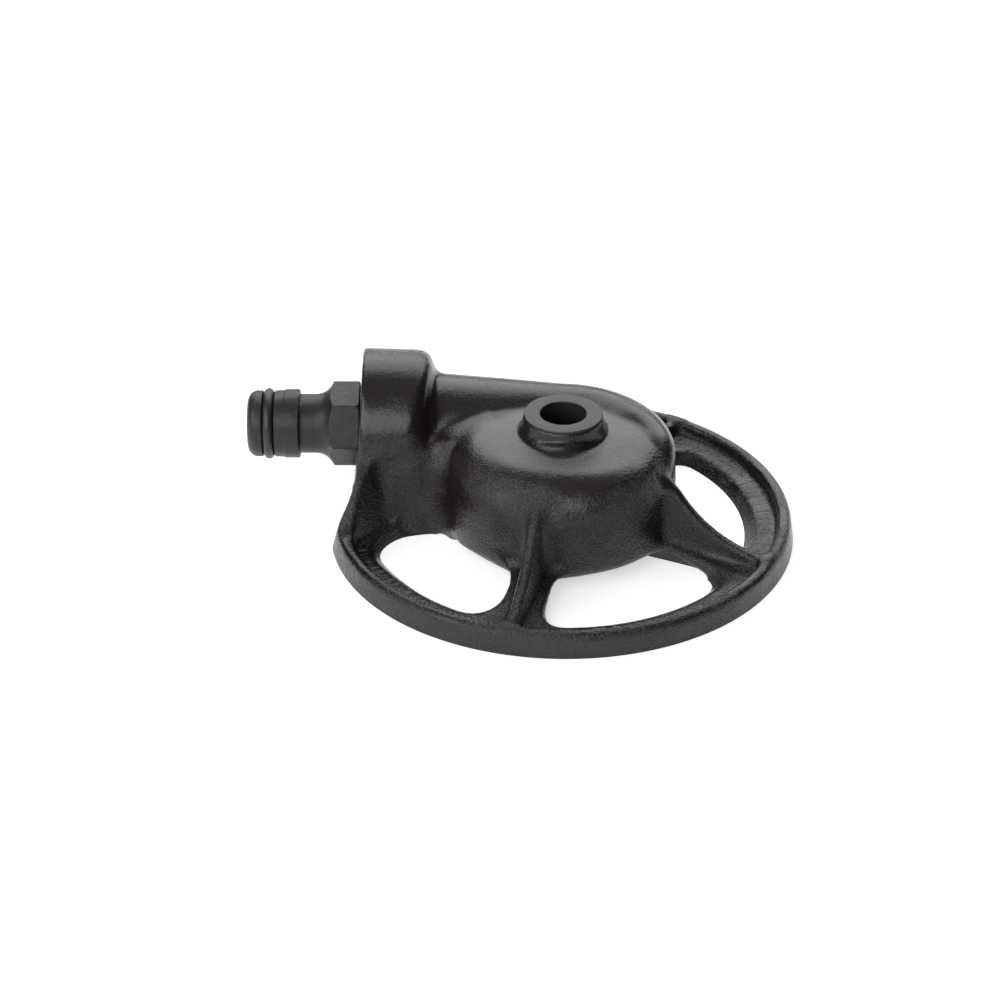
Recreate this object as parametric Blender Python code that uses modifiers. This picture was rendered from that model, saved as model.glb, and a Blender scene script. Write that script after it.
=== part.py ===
"""Stationary ring-foot sprinkler: a cast-iron whirl-chamber body and a screwed-in hose nipple.

The body is modelled the way such a body is made. A pattern of plain forms is rounded off all over
as sand casting rounds it, a core leaves the water way, and the faces and holes that a lathe would
cut come last, so they stay crisp.

Metres, +Z up. Everything hangs on the empty "nozzle_axis", which stands on the ground under the
nozzle. In that empty's frame the hose comes in along X from the -X side, and the empty is shifted
along X so that the whole object is centred on the world's origin.
"""

from math import acos, asin, atan2, cos, hypot, pi, radians, sin, sqrt, tan

import bmesh
import bpy

MM = 0.001

# Ring foot
RING_RADIUS = 53.0 * MM  # outer edge, where it stands on the ground
RIM_HEIGHT = 5.7 * MM
RIM_WIDTH = 3.0 * MM  # across the rim's top
RIM_DRAFT = 0.8 * MM  # how much the rim's outer wall leans in from foot to top
LEDGE_HEIGHT = 2.8 * MM  # the lower flange inside the rim
LEDGE_WIDTH = 4.6 * MM
LEDGE_SLOPE = 2.8 * MM  # how far the ledge's inner wall runs in from top to bottom

# Spokes: flat webs that climb from the ledge to the chamber, each with a rib on top
SPOKE_AZIMUTHS = (-104.2, -24.9, 56.0)  # degrees from +X
WEB_WIDTH = 9.8 * MM
WEB_THICKNESS = 2.0 * MM  # where a web meets the chamber
RIB_THICKNESS = 3.2 * MM
RIB_CREST_RADIUS = 21.3 * MM  # the hollow curve of a rib's crest
RIB_ROOT_HEIGHT = 19.5 * MM  # where the crest meets the chamber
WINDOW_CORNER = 6.0 * MM  # plan radius where a web meets the ledge
WIDE_WINDOW_CORNER = 8.0 * MM  # the same on the side of the front spoke towards the inlet
PEDESTAL_WINDOW_CORNER = 8.5 * MM  # the same where the pedestal meets the ledge
WINDOW_ROOT = 7.0 * MM  # plan radius where a web meets the chamber

# Whirl chamber
CHAMBER_RADIUS = 26.4 * MM
CHAMBER_FOOT_RADIUS = 25.7 * MM
CHAMBER_TOP = 26.5 * MM
CHAMBER_LIFT = 2.5 * MM  # the chamber's floor hangs this far above the ground
SHOULDER_RADIUS = 9.5 * MM
FOOT_CORNER = 2.2 * MM
CHAMBER_WALL = 4.2 * MM
FLOOR_THICKNESS = 3.6 * MM
CORE_CORNER = 5.0 * MM

# Nozzle, turned on the chamber's crown
NOZZLE_TOP = 30.8 * MM
NOZZLE_RADIUS = 8.8 * MM
NOZZLE_FOOT_RADIUS = 9.6 * MM
NOZZLE_FOOT_RISE = 0.5 * MM  # the turned wall stops this far above the chamber's crown
NOZZLE_BORE_RADIUS = 5.2 * MM
NOZZLE_CHAMFER = 0.35 * MM

# Inlet: a boss, and a pipe that runs tangent into the chamber
BOSS_SETBACK = 6.5 * MM  # of the boss's face from the ring's outer edge
BOSS_LENGTH = 17.0 * MM
BOSS_RADIUS = 17.7 * MM
BOSS_END_RADIUS = 17.1 * MM
BOSS_LIFT = 0.2 * MM  # of the boss's round above the ground
BOSS_ROUND = 2.4 * MM  # on its end towards the pipe
PEDESTAL_SPREAD = 2.2 * MM  # how much wider the pedestal is than the boss, at the ground
FACE_LEAN = 1.1 * MM  # how far the boss's face leans out from its axis to the ground
PIPE_RADIUS = 12.1 * MM
PIPE_END_RADIUS = 9.3 * MM
PIPE_PROUD = 0.9 * MM  # of the pipe past the chamber's wall
THROAT_TOP = 20.0 * MM  # the thickened notch between boss and chamber
THROAT_FILLET = 4.0 * MM  # where its front wall turns into the chamber's
CHANNEL_RADIUS = 6.0 * MM
CHANNEL_END_RADIUS = 4.6 * MM
FLARE_AZIMUTH = -173.0  # where the ring's outer wall leaves its circle for the boss's face
FLARE_SWEEP = 1.7  # power by which the flare's foot dies out along the boss's face
FLARE_RISE = 1.2  # power by which the flare dies out with height
FIN_TOP = 18.4 * MM
FIN_SLOPE = radians(52.0)  # of the fin's crest
FIN_SHELF = 2.4 * MM  # in front of the boss's wall the crest is at its full height
FIN_ROOT = 6.7 * MM  # thickness halfway up, where the fin meets the boss's front wall
FIN_SPREAD = radians(39.0)  # in plan, between the fin's inner side and the boss's face
FIN_DRAFT = 0.33  # how far the inner side leans in for each unit of height

# Hose nipple: tip, seal groove, collar, neck, flared shoulder, hexagon, threaded shank
NIPPLE_RADIUS = 7.7 * MM
COLLAR_RADIUS = 7.95 * MM
NECK_RADIUS = 6.85 * MM
TIP_ROUND = 2.2 * MM
TIP_LENGTH = 3.6 * MM
GROOVE_WIDTH = 2.7 * MM
COLLAR_LENGTH = 5.8 * MM
COLLAR_STEP = 2.2 * MM  # the part of the collar next to the groove, turned down to the tip's radius
NECK_LENGTH = 3.9 * MM
FLARE_LENGTH = 4.4 * MM
HEX_LENGTH = 5.7 * MM
HEX_FLATS = 17.0 * MM
HEX_TURN = radians(6.8)  # how far past a flat side up the thread stopped
SHANK_RADIUS = 8.1 * MM
SHANK_LENGTH = 11.0 * MM
NIPPLE_BORE_RADIUS = 4.6 * MM
O_RING_SECTION = 2.4 * MM
O_RING_PROUD = 0.5 * MM  # of the seal past the nipple's tip radius

# Thread seal
WASHER_THICKNESS = 1.2 * MM
WASHER_RADIUS = 10.4 * MM
CLEARANCE = 0.3 * MM  # between any two pieces that seat on each other

# Making
SAND_ALLOWANCE = 2.4 * MM  # pattern below the ground plane, cut off again
GRAIN = 0.8 * MM  # the step at which the cast surface is rebuilt
ROUNDING_PASSES = 6
CASTING_TRIANGLES = 8600
TURN_STEPS = 48
ARC_STEPS = 10
FAR = 80.0 * MM  # past everything, for cutters

# Places that follow from the sizes above
rim_inner_radius = RING_RADIUS - RIM_DRAFT - RIM_WIDTH
window_radius = rim_inner_radius - LEDGE_WIDTH
boss_face = -(RING_RADIUS - BOSS_SETBACK)
boss_end = boss_face + BOSS_LENGTH
inlet_y = CHAMBER_RADIUS + PIPE_PROUD - PIPE_END_RADIUS
inlet_z = BOSS_RADIUS + BOSS_LIFT
seat_depth = WASHER_THICKNESS + 2 * CLEARANCE
nipple_reach = TIP_LENGTH + GROOVE_WIDTH + COLLAR_LENGTH + NECK_LENGTH + FLARE_LENGTH + HEX_LENGTH
nipple_tip = boss_face - nipple_reach
centring = -(nipple_tip + RING_RADIUS) / 2


def clear_scene():
    for thing in list(bpy.data.objects):
        bpy.data.objects.remove(thing)


def material(name, colour, roughness, metallic):
    made = bpy.data.materials.new(name)
    made.use_nodes = True
    shader = made.node_tree.nodes["Principled BSDF"]
    shader.inputs["Base Color"].default_value = (*colour, 1.0)
    shader.inputs["Roughness"].default_value = roughness
    shader.inputs["Metallic"].default_value = metallic
    return made


def collection(name):
    made = bpy.data.collections.new(name)
    bpy.context.scene.collection.children.link(made)
    return made


def arc(centre, radius, start, end, steps=ARC_STEPS):
    """Points on an arc in a plane, both ends included, angles in radians."""
    turn = (end - start) / steps
    return [
        (centre[0] + radius * cos(start + turn * i), centre[1] + radius * sin(start + turn * i))
        for i in range(steps + 1)
    ]


def polar(radius, angle):
    return (radius * cos(angle), radius * sin(angle))


def turned_by(points, angle):
    """Plan points turned about the nozzle's axis."""
    return [(x * cos(angle) - y * sin(angle), x * sin(angle) + y * cos(angle)) for x, y in points]


def mesh_object(name, mesh, group, parent):
    made = bpy.data.objects.new(name, mesh)
    group.objects.link(made)
    made.parent = parent
    return made


def guide(thing):
    """Marks a pattern piece or a cutter, which isn't a piece of the sprinkler itself."""
    thing.hide_render = True
    thing.display_type = "WIRE"
    return thing


def turned(name, profile, group, parent, closed=False):
    """A profile of (radius, height) points turned about local Z. It runs down its outer side."""
    mesh = bpy.data.meshes.new(name)
    edges = [(i, i + 1) for i in range(len(profile) - 1)]
    if closed:
        edges.append((len(profile) - 1, 0))
    mesh.from_pydata([(r, 0.0, z) for r, z in profile], edges, [])
    made = mesh_object(name, mesh, group, parent)
    screw = made.modifiers.new("turn", "SCREW")
    screw.steps = screw.render_steps = TURN_STEPS
    screw.use_merge_vertices = True
    screw.merge_threshold = 0.00001
    screw.use_smooth_shade = True
    return made


def lofted(name, sections, group, parent):
    """A closed solid through sections of equally many points, capped at both ends."""
    mesh = bpy.data.meshes.new(name)
    shape = bmesh.new()
    rings = [[shape.verts.new(p) for p in section] for section in sections]
    count = len(rings[0])
    for low, high in zip(rings, rings[1:]):
        for i in range(count):
            j = (i + 1) % count
            shape.faces.new((low[i], low[j], high[j], high[i]))
    shape.faces.new(rings[0][::-1])
    shape.faces.new(rings[-1])
    bmesh.ops.recalc_face_normals(shape, faces=shape.faces)
    shape.to_mesh(mesh)
    shape.free()
    return mesh_object(name, mesh, group, parent)


def slab(name, outline, low, high, group, parent):
    """A flat plan outline raised from one height to another."""
    return lofted(name, [[(x, y, z) for x, y in outline] for z in (low, high)], group, parent)


def tube(name, path, radii, group, parent):
    """A round tube along a path, with its own radius at each point, as a closed mesh."""
    curve = bpy.data.curves.new(name, "CURVE")
    curve.dimensions = "3D"
    curve.bevel_depth = 1.0
    curve.bevel_resolution = 8
    curve.use_fill_caps = True
    spline = curve.splines.new("POLY")
    spline.points.add(len(path) - 1)
    for point, place, radius in zip(spline.points, path, radii):
        point.co = (*place, 1.0)
        point.radius = radius
    rail = mesh_object(name + "_rail", curve, group, parent)
    bpy.context.view_layer.update()
    mesh = bpy.data.meshes.new_from_object(rail.evaluated_get(bpy.context.evaluated_depsgraph_get()))
    bpy.data.objects.remove(rail)
    shape = bmesh.new()
    shape.from_mesh(mesh)
    bmesh.ops.remove_doubles(shape, verts=shape.verts, dist=0.00001)
    bmesh.ops.recalc_face_normals(shape, faces=shape.faces)
    shape.to_mesh(mesh)
    shape.free()
    return mesh_object(name, mesh, group, parent)


def cut(thing, cutter, operation="DIFFERENCE"):
    made = thing.modifiers.new(cutter.name, "BOOLEAN")
    made.operation = operation
    made.solver = "EXACT"
    made.object = cutter
    return made


def shade(thing, angle=radians(32)):
    thing.data.shade_smooth()
    thing.data.set_sharp_from_angle(angle=angle)


# Plan of the windows between the spokes


def web_side(azimuth, side, half_width, outer, corner, root_corner=WINDOW_ROOT):
    """One edge of a window along a spoke, from the ledge in to the chamber.

    A corner circle touches the ledge's circle from inside, and a root circle touches the
    chamber's from outside. Both touch the line at half_width beside the spoke's middle.
    """
    root = CHAMBER_FOOT_RADIUS - FOOT_CORNER
    offset = half_width + corner
    outer_centre = (sqrt((outer - corner) ** 2 - offset**2), offset)
    touch = atan2(outer_centre[1], outer_centre[0])
    points = arc(outer_centre, corner, touch, -pi / 2)
    offset = half_width + root_corner
    root_centre = (sqrt((root + root_corner) ** 2 - offset**2), offset)
    touch = atan2(root_centre[1], root_centre[0])
    points += arc(root_centre, root_corner, -pi / 2, touch - pi)
    return turned_by([(x, y * side) for x, y in points], radians(azimuth))


def around(start, end, steps=ARC_STEPS):
    """Points between two plan points, on a circle whose radius changes evenly between them."""
    first, last = atan2(start[1], start[0]), atan2(end[1], end[0])
    if last - first > pi:
        last -= 2 * pi
    if first - last > pi:
        last += 2 * pi
    radii = hypot(*start), hypot(*end)
    return [
        polar(radii[0] + (radii[1] - radii[0]) * i / steps, first + (last - first) * i / steps)
        for i in range(1, steps)
    ]


def closed_window(first, second):
    """The outline of a window from its two sides, each listed from the ledge inwards."""
    return first + around(first[-1], second[-1]) + second[::-1] + around(second[0], first[0])


def back_wall_side(outer):
    """The edge of the rear window along the inlet pipe, from the ledge in to the chamber."""
    wall = inlet_y + PIPE_RADIUS
    corner = WINDOW_CORNER / 2
    centre = (-sqrt((outer - corner) ** 2 - (wall + corner) ** 2), wall + corner)
    touch = atan2(centre[1], centre[0])
    points = arc(centre, corner, touch, 3 * pi / 2)
    root = CHAMBER_FOOT_RADIUS - FOOT_CORNER
    end = (0.0, root)
    rest = [(points[-1][0] * (1 - i / ARC_STEPS), wall + (root - wall) * (i / ARC_STEPS) ** 2)
            for i in range(1, ARC_STEPS)]
    return points + rest + [end]


def window_outlines(outer):
    """The four windows, with the given radius for their outer edge."""
    half = WEB_WIDTH / 2
    front, right, back = SPOKE_AZIMUTHS
    skirt = PEDESTAL_SPREAD + BOSS_RADIUS - inlet_y
    return {
        "inlet_side_window": closed_window(
            web_side(front, -1, half, outer, WIDE_WINDOW_CORNER),
            web_side(180.0, 1, skirt, outer, PEDESTAL_WINDOW_CORNER, THROAT_FILLET),
        ),
        "front_window": closed_window(
            web_side(front, 1, half, outer, WINDOW_CORNER),
            web_side(right, -1, half, outer, WINDOW_CORNER),
        ),
        "right_window": closed_window(
            web_side(right, 1, half, outer, WINDOW_CORNER),
            web_side(back, -1, half, outer, WINDOW_CORNER),
        ),
        "rear_window": closed_window(
            web_side(back, 1, half, outer, WINDOW_CORNER),
            back_wall_side(outer),
        ),
    }


# Pattern pieces of the casting


def fin_outer(y, z):
    """Where the casting ends towards the hose: the ring's wall, which flares up to the boss's face."""
    ring = RIM_DRAFT * z / RIM_HEIGHT - sqrt(RING_RADIUS**2 - y**2)
    start_x, start_y = polar(RING_RADIUS, radians(FLARE_AZIMUTH))
    sweep = ((inlet_y - y) / (inlet_y - start_y)) ** FLARE_SWEEP
    reach = FACE_LEAN + (boss_face - FACE_LEAN - start_x) * sweep
    rise = min(max(z / FIN_TOP, 0.0), 1.0)
    return max(ring, boss_face - reach * (1 - rise) ** FLARE_RISE)


def fin_inner(y, z):
    """The fin's inner side: the rim's, then a flat side that spreads towards the boss."""
    rim = -sqrt(rim_inner_radius**2 - y**2)
    front = inlet_y - BOSS_RADIUS
    flat = boss_face + FIN_ROOT - (front - y) * tan(FIN_SPREAD) - (z - FIN_TOP / 2) * FIN_DRAFT
    return max(rim, min(flat, boss_face + 2 * FIN_ROOT))


def fin_crest(y):
    """The height of the rim and of the crest that climbs from it to the boss."""
    climb = FIN_TOP - (inlet_y - BOSS_RADIUS - FIN_SHELF - y) * tan(FIN_SLOPE)
    return min(FIN_TOP, max(RIM_HEIGHT, climb))


def fin_places():
    """Places along Y from the plain rim, through the fin, to the middle of the boss's face."""
    start = polar(RING_RADIUS, radians(FLARE_AZIMUTH))[1] - 2 * RIM_WIDTH
    return [start + (inlet_y - start) * i / (2 * ARC_STEPS) for i in range(2 * ARC_STEPS + 1)]


def ring_pattern(group, parent):
    """Rim and dished plate with its windows, trimmed where the boss's face cuts the ring."""
    low = -SAND_ALLOWANCE
    rim = turned(
        "rim_pattern",
        [
            (RING_RADIUS - RIM_DRAFT, RIM_HEIGHT),
            (RING_RADIUS - RIM_DRAFT * low / RIM_HEIGHT, low),
            (rim_inner_radius - RIM_WIDTH / 4, low),
            (rim_inner_radius - RIM_WIDTH / 4, LEDGE_HEIGHT),
            (rim_inner_radius, RIM_HEIGHT),
        ],
        group, parent, closed=True,
    )
    climb_start = window_radius - LEDGE_SLOPE
    plate = turned(
        "plate_pattern",
        [
            (RING_RADIUS - RIM_WIDTH, LEDGE_HEIGHT),
            (RING_RADIUS - RIM_WIDTH, low),
            (window_radius - 2 * LEDGE_SLOPE, low),
            (climb_start, 0.0),
            (CHAMBER_FOOT_RADIUS, CHAMBER_LIFT + FOOT_CORNER / 3),
            (CHAMBER_FOOT_RADIUS - 2 * FOOT_CORNER, CHAMBER_LIFT + FOOT_CORNER / 3),
            (CHAMBER_FOOT_RADIUS - 2 * FOOT_CORNER, CHAMBER_LIFT + FOOT_CORNER / 3 + WEB_THICKNESS),
            (CHAMBER_FOOT_RADIUS, CHAMBER_LIFT + FOOT_CORNER / 3 + WEB_THICKNESS),
            (climb_start, LEDGE_HEIGHT),
        ],
        group, parent, closed=True,
    )
    tops = window_outlines(window_radius)
    feet = window_outlines(window_radius - LEDGE_SLOPE)
    for name in tops:
        cutter = guide(lofted(
            name,
            [
                [(x, y, -FAR) for x, y in feet[name]],
                [(x, y, 0.0) for x, y in feet[name]],
                [(x, y, LEDGE_HEIGHT) for x, y in tops[name]],
                [(x, y, 2 * LEDGE_HEIGHT) for x, y in tops[name]],
                [(x, y, FAR) for x, y in tops[name]],
            ],
            group, parent,
        ))
        cut(plate, cutter)
    places = fin_places()
    sections = []
    for height in (-FAR, low, RIM_HEIGHT, 2 * RIM_HEIGHT):
        outline = [(fin_outer(y, max(height, low)), y) for y in places]
        outline += [(outline[-1][0], FAR), (-FAR, FAR), (-FAR, places[0])]
        sections.append([(x, y, height) for x, y in outline])
    trimmer = guide(lofted("boss_face_trim", sections, group, parent))
    for piece in (rim, plate):
        cut(piece, trimmer)
    return [rim, plate]


def rib_pattern(azimuth, index, group, parent):
    """A thin rib in the radial plane, whose crest is hollow and ends level with the rim."""
    crest_end = rim_inner_radius - RIM_WIDTH / 2
    centre = (crest_end, RIM_HEIGHT + RIB_CREST_RADIUS)
    rise = acos(1 - (RIB_ROOT_HEIGHT - RIM_HEIGHT) / RIB_CREST_RADIUS)
    inner = CHAMBER_RADIUS - CHAMBER_WALL
    side = arc(centre, RIB_CREST_RADIUS, -pi / 2 - rise, -pi / 2)
    side = [(inner, RIB_ROOT_HEIGHT)] + side
    side += [(RING_RADIUS - RIM_DRAFT - RIM_WIDTH / 2, RIM_HEIGHT)]
    side += [(RING_RADIUS - RIM_DRAFT - RIM_WIDTH / 2, LEDGE_HEIGHT / 2)]
    side += [(CHAMBER_FOOT_RADIUS, CHAMBER_LIFT + FOOT_CORNER), (inner, CHAMBER_LIFT + FOOT_CORNER)]
    half = RIB_THICKNESS / 2
    rib = lofted(
        f"rib_pattern_{index}",
        [[(r, y, z) for r, z in side] for y in (-half, half)],
        group, parent,
    )
    rib.rotation_euler.z = radians(azimuth)
    return rib


def chamber_pattern(group, parent):
    """The whirl chamber's outer form with the blank for the nozzle on its crown."""
    shoulder = (CHAMBER_RADIUS - SHOULDER_RADIUS, CHAMBER_TOP - SHOULDER_RADIUS)
    foot = (CHAMBER_FOOT_RADIUS - FOOT_CORNER, CHAMBER_LIFT + FOOT_CORNER)
    profile = [(0.0, NOZZLE_TOP + SAND_ALLOWANCE)]
    profile += [(NOZZLE_FOOT_RADIUS, NOZZLE_TOP + SAND_ALLOWANCE), (NOZZLE_FOOT_RADIUS, CHAMBER_TOP)]
    profile += arc(shoulder, SHOULDER_RADIUS, pi / 2, 0.0)
    profile += arc(foot, FOOT_CORNER, 0.0, -pi / 2)
    profile += [(0.0, CHAMBER_LIFT)]
    return turned("chamber_pattern", profile, group, parent)


def arch(x, radius, lean, foot_spread, low):
    """A cross-section of boss or pipe: round on top, with walls that spread to the ground."""
    points = [(inlet_y + radius + foot_spread, low)]
    points += arc((inlet_y, inlet_z), radius, 0.0, pi, 2 * ARC_STEPS)
    points += [(inlet_y - radius - foot_spread, low)]
    return [(x + lean * (inlet_z - z) / inlet_z, y, z) for y, z in points]


def throat_outline(front):
    """The throat's plan: a front wall that turns in a fillet into the chamber's wall."""
    centre_y = front - THROAT_FILLET
    centre = (-sqrt((CHAMBER_RADIUS + THROAT_FILLET) ** 2 - centre_y**2), centre_y)
    start = (boss_face + boss_end) / 2
    back = inlet_y + PIPE_RADIUS
    fillet = arc(centre, THROAT_FILLET, pi / 2, atan2(-centre[1], -centre[0]), ARC_STEPS // 2)
    inside = -CHAMBER_RADIUS * 0.7
    return [(start, front), *fillet, (inside, 0.0), (inside, back), (start, back)]


def inlet_pattern(group, parent):
    """Boss on its pedestal, pipe on its skirt, the thick throat beside it, and the fin."""
    low = -SAND_ALLOWANCE
    boss = lofted(
        "boss_pattern",
        [
            arch(boss_face, BOSS_RADIUS, -FACE_LEAN, PEDESTAL_SPREAD, low),
            arch(boss_end - BOSS_ROUND, BOSS_END_RADIUS, 0.0, PEDESTAL_SPREAD, low),
            arch(boss_end - BOSS_ROUND / 4, BOSS_END_RADIUS - BOSS_ROUND / 3, 0.0,
                 PEDESTAL_SPREAD, low),
            arch(boss_end, BOSS_END_RADIUS - BOSS_ROUND, 0.0, PEDESTAL_SPREAD, low),
        ],
        group, parent,
    )
    pipe = lofted(
        "pipe_pattern",
        [
            arch((boss_face + boss_end) / 2, PIPE_RADIUS, 0.0, PEDESTAL_SPREAD, CHAMBER_LIFT),
            arch(boss_end, PIPE_RADIUS, 0.0, PEDESTAL_SPREAD, CHAMBER_LIFT),
            arch(0.0, PIPE_END_RADIUS, 0.0, 0.0, CHAMBER_LIFT + FOOT_CORNER),
        ],
        group, parent,
    )
    centre_radius = CHAMBER_RADIUS - SHOULDER_RADIUS
    path = [(-PIPE_END_RADIUS, inlet_y, inlet_z)]
    radii = [PIPE_END_RADIUS + (PIPE_RADIUS - PIPE_END_RADIUS) * PIPE_END_RADIUS / -boss_end]
    for i in range(ARC_STEPS + 1):
        share = i / ARC_STEPS
        reach = inlet_y + (centre_radius - inlet_y) * share
        drop = inlet_z + (CHAMBER_TOP - SHOULDER_RADIUS - inlet_z) * share
        path.append((*polar(reach, radians(90 - 90 * share)), drop))
        radii.append(PIPE_END_RADIUS + (SHOULDER_RADIUS - PIPE_END_RADIUS) * share)
    scroll = tube("scroll_pattern", path, radii, group, parent)
    levels = ((low, PEDESTAL_SPREAD), (inlet_z * 0.8, 0.0), (THROAT_TOP, -BOSS_ROUND))
    throat = lofted(
        "throat_pattern",
        [[(x, y, z) for x, y in throat_outline(inlet_y - BOSS_END_RADIUS - spread)]
         for z, spread in levels],
        group, parent,
    )
    sections = []
    for y in fin_places():
        crest = fin_crest(y)
        side = [(fin_outer(y, z), y, z) for z in (crest, crest * 2 / 3, crest / 3, low)]
        sections.append([*side, (fin_inner(y, low), y, low), (fin_inner(y, crest), y, crest)])
    fin = lofted("fin_pattern", sections, group, parent)
    return [boss, pipe, scroll, throat, fin]


def joined(name, pieces):
    """One mesh that holds the evaluated meshes of all the pieces, in their parent's frame."""
    bpy.context.view_layer.update()
    graph = bpy.context.evaluated_depsgraph_get()
    mesh = bpy.data.meshes.new(name)
    shape = bmesh.new()
    for piece in pieces:
        part = bpy.data.meshes.new_from_object(piece.evaluated_get(graph))
        part.transform(piece.parent.matrix_world.inverted() @ piece.matrix_world)
        shape.from_mesh(part)
        bpy.data.meshes.remove(part)
    shape.to_mesh(mesh)
    shape.free()
    return mesh


def cast(name, pieces, group, parent):
    """The pattern pieces as one casting: a single skin, rounded all over, in few triangles."""
    casting = mesh_object(name, joined(name, pieces), group, parent)
    skin = casting.modifiers.new("one_skin", "REMESH")
    skin.mode = "VOXEL"
    skin.voxel_size = GRAIN
    rounding = casting.modifiers.new("rounding", "SMOOTH")
    rounding.factor = 0.5
    rounding.iterations = ROUNDING_PASSES
    bpy.context.view_layer.update()
    fine = casting.evaluated_get(bpy.context.evaluated_depsgraph_get()).data
    thinning = casting.modifiers.new("fewer_facets", "DECIMATE")
    thinning.ratio = CASTING_TRIANGLES / sum(len(face.vertices) - 2 for face in fine.polygons)
    thinning.use_collapse_triangulate = True
    return casting


# Core and machining


def water_core(group, parent):
    """The chamber's hollow and the channel that enters it at its rim."""
    radius = CHAMBER_RADIUS - CHAMBER_WALL
    low, high = CHAMBER_LIFT + FLOOR_THICKNESS, CHAMBER_TOP - CHAMBER_WALL
    profile = [(0.0, high)]
    profile += arc((radius - CORE_CORNER, high - CORE_CORNER), CORE_CORNER, pi / 2, 0.0)
    profile += arc((radius - CORE_CORNER, low + CORE_CORNER), CORE_CORNER, 0.0, -pi / 2)
    profile += [(0.0, low)]
    chamber = guide(turned("chamber_core", profile, group, parent))
    start = boss_face + seat_depth + SHANK_LENGTH
    height = (low + high) / 2
    channel = guide(tube(
        "channel_core",
        [(start, inlet_y, inlet_z), (boss_end, inlet_y, inlet_z),
         (0.0, radius - CHANNEL_END_RADIUS, height)],
        [CHANNEL_RADIUS, CHANNEL_RADIUS, CHANNEL_END_RADIUS],
        group, parent,
    ))
    return [chamber, channel]


def nozzle_tool(group, parent):
    """All that a lathe takes off at the nozzle: above it, around it, and its bore."""
    crown = CHAMBER_TOP + NOZZLE_FOOT_RISE
    clear = NOZZLE_FOOT_RADIUS + SHOULDER_RADIUS / 2
    profile = [
        (0.0, FAR),
        (clear, FAR),
        (clear, crown),
        (NOZZLE_FOOT_RADIUS, crown),
        (NOZZLE_RADIUS, NOZZLE_TOP - NOZZLE_CHAMFER),
        (NOZZLE_RADIUS - NOZZLE_CHAMFER, NOZZLE_TOP),
        (NOZZLE_BORE_RADIUS, NOZZLE_TOP),
        (NOZZLE_BORE_RADIUS, CHAMBER_TOP - CHAMBER_WALL - CORE_CORNER),
        (0.0, CHAMBER_TOP - CHAMBER_WALL - CORE_CORNER),
    ]
    return guide(turned("nozzle_tool", profile, group, parent))


def inlet_tool(group, parent):
    """The seat for the washer and the tapped hole, bored along the inlet's axis."""
    hole = SHANK_RADIUS + CLEARANCE
    seat = WASHER_RADIUS + CLEARANCE
    end = seat_depth + SHANK_LENGTH + 2 * CLEARANCE
    profile = [
        (0.0, end + hole / 3),
        (CHANNEL_RADIUS, end + hole / 3),
        (hole, end),
        (hole, seat_depth),
        (seat, seat_depth),
        (seat, 0.0),
        (seat, -BOSS_SETBACK),
        (0.0, -BOSS_SETBACK),
    ]
    tool = guide(turned("inlet_tool", profile, group, parent))
    tool.location = (boss_face, inlet_y, inlet_z)
    tool.rotation_euler.y = pi / 2
    return tool


def ground_tool(group, parent):
    """Everything under the plane that the ring stands on."""
    corners = [(-FAR, -FAR), (FAR, -FAR), (FAR, FAR), (-FAR, FAR)]
    return guide(slab("ground_tool", corners, -FAR, 0.0, group, parent))


def make_casting(parts, pattern, cutters, parent):
    pieces = ring_pattern(pattern, parent)
    pieces += [rib_pattern(a, i + 1, pattern, parent) for i, a in enumerate(SPOKE_AZIMUTHS)]
    pieces += [chamber_pattern(pattern, parent)]
    pieces += inlet_pattern(pattern, parent)
    casting = cast("sprinkler_casting", pieces, parts, parent)
    for piece in pieces:
        guide(piece)
    for tool in [ground_tool(cutters, parent), *water_core(cutters, parent),
                 nozzle_tool(cutters, parent), inlet_tool(cutters, parent)]:
        cut(casting, tool)
    return casting


# Nipple and its seals


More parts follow.
